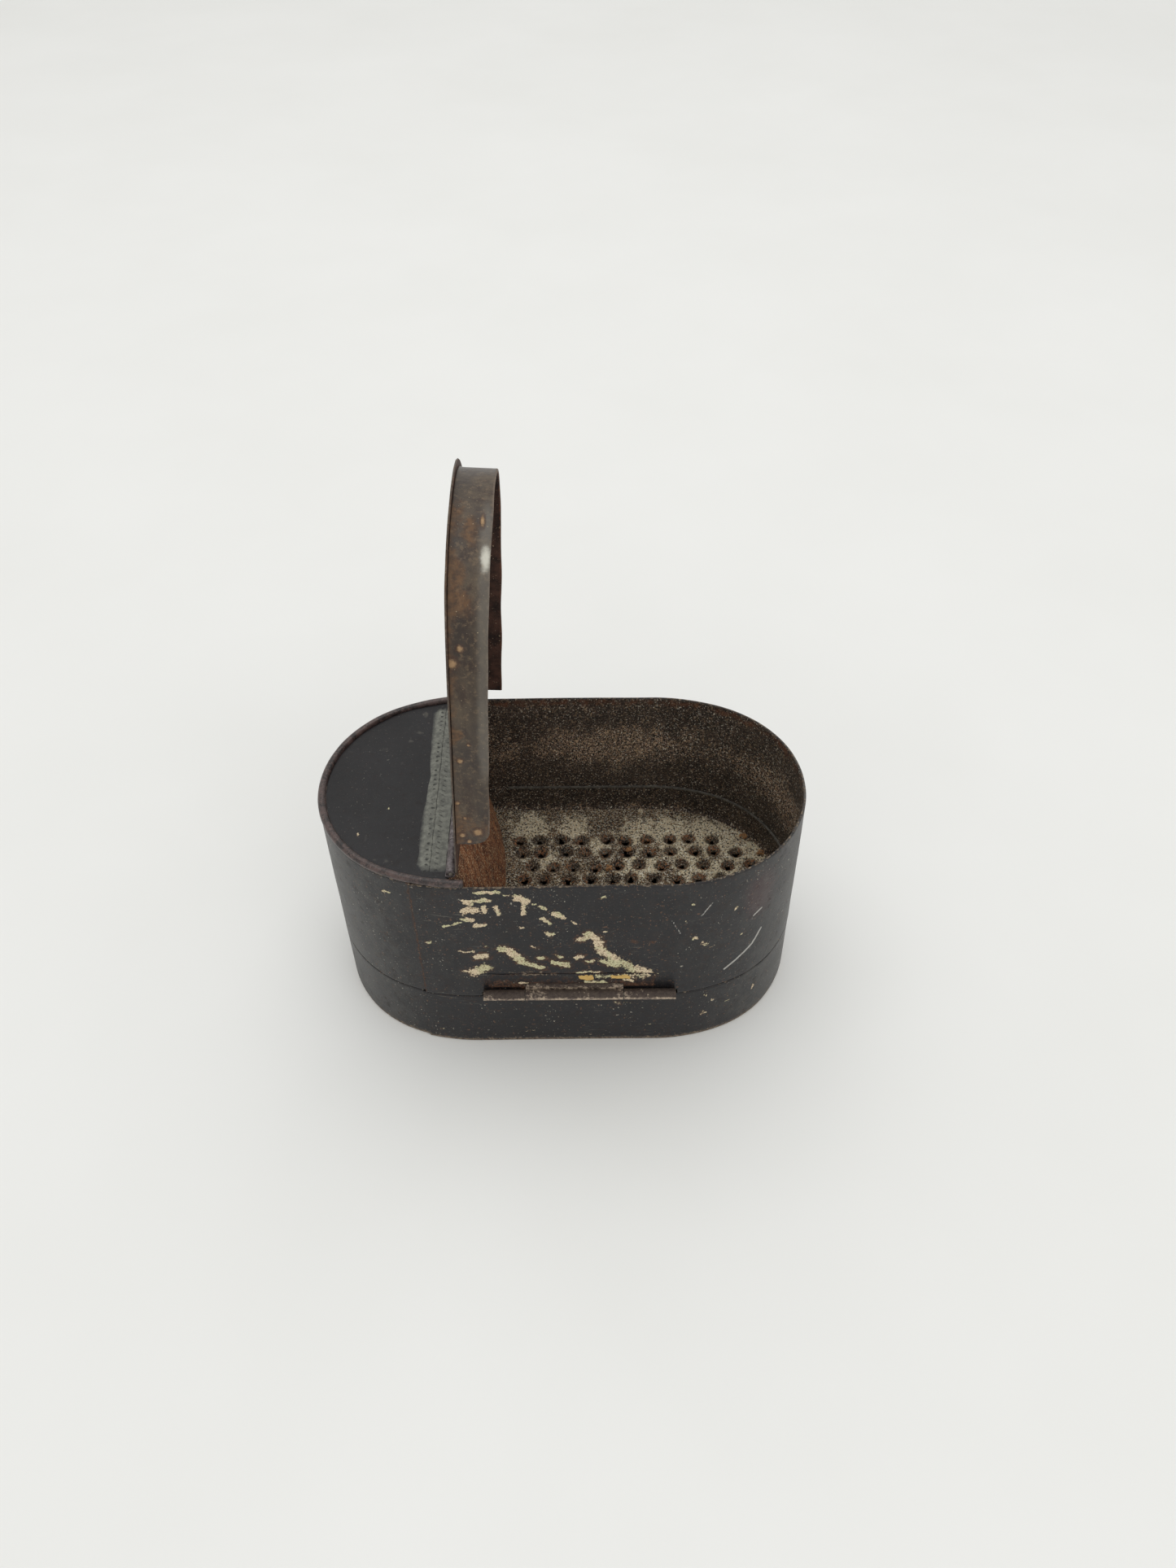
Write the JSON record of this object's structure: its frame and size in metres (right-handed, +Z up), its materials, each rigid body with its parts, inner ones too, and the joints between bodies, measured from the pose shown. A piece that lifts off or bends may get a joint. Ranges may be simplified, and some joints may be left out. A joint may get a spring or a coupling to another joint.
{
  "type": "nutmeg grater box",
  "caption": "Small oblong tinplate box with rounded ends: half-lid standing open over a punched rasp plate, fixed cover over a nutmeg chamber, shallow hinged tray below.",
  "frame": {"origin": "on the table, under the middle of the tray", "axes": "+X along the box towards the lid's free end, +Y away from the tray's hinge, +Z up"},
  "size_m": [0.0701, 0.0395, 0.0881],
  "materials": {
    "black_japan": "semi-gloss black japanning, chipped",
    "rim_brown": "worn japanning over tinplate",
    "lid_brown": "worn brown-black japanning with rust",
    "rusty_sheet": "red-brown rust",
    "rasp_sheet": "dark tinplate, dusty and spotted",
    "tinplate": "dull tinplate",
    "steel_wire": "dull iron wire",
    "solder": "dull tin-lead solder"
  },
  "bodies": {
    "base": {"tray_wall": "black_japan", "tray_bottom": "black_japan", "tray_solder": "solder", "tray_hinge_leaf": "tinplate", "base_hinge_pin": "steel_wire", "tray_seam_strip": "black_japan"},
    "case": {"case_wall": "black_japan", "case_seam_strip": "black_japan", "fixed_cover": "black_japan", "cover_rim": "rim_brown", "cover_solder": "solder", "cover_hinge_leaf": "tinplate", "lid_hinge_pin": "steel_wire", "case_hinge_leaf": "tinplate", "partition": "rusty_sheet", "partition_solder": "solder", "grater_plate": "rasp_sheet", "grater_solder": "solder"},
    "lid": {"lid_plate": "lid_brown", "lid_skirt": "lid_brown", "lid_skirt_solder": "solder", "lid_hinge_leaf": "tinplate"}
  },
  "joints": [
    {"name": "case_tilt", "type": "hinge", "parent": "base", "child": "case", "pos_m": [0, -0.01975, 0.0135], "axis": [1, 0, 0], "range_deg": [0, 115]},
    {"name": "lid_hinge", "type": "hinge", "parent": "case", "child": "lid", "pos_m": [-0.0149, 0, 0.0382], "axis": [0, 1, 0], "range_deg": [-92, 86.8]}
  ]
}
